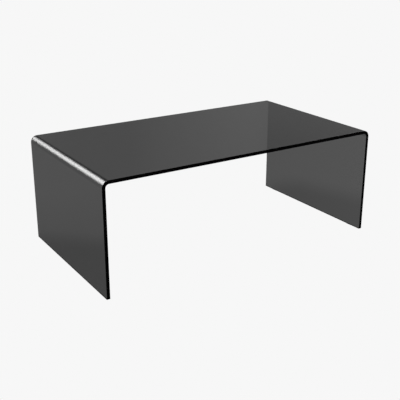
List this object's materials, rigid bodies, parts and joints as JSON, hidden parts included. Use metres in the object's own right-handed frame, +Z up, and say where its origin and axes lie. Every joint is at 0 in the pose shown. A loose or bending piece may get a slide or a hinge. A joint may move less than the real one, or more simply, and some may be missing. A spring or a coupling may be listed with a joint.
{
  "type": "waterfall coffee table",
  "caption": "Low rectangular coffee table bent from a single sheet of smoked glass, whose ends turn down as panel legs on thin clear pads.",
  "frame": {"origin": "on the floor, under the middle of the table", "axes": "+X along the length, +Y from front to rear, +Z up"},
  "size_m": [1.1, 0.6, 0.4],
  "materials": {
    "smoked_glass": "polished, neutral grey body tint",
    "clear_pad": "clear moulded, slightly matt",
    "adhesive_film": "clear tacky film"
  },
  "bodies": {
    "root": {"bent_glass_sheet": "smoked_glass", "foot_pad_front_left": "clear_pad", "adhesive_film_front_left": "adhesive_film", "foot_pad_front_right": "clear_pad", "adhesive_film_front_right": "adhesive_film", "foot_pad_rear_left": "clear_pad", "adhesive_film_rear_left": "adhesive_film", "foot_pad_rear_right": "clear_pad", "adhesive_film_rear_right": "adhesive_film"}
  },
  "joints": []
}
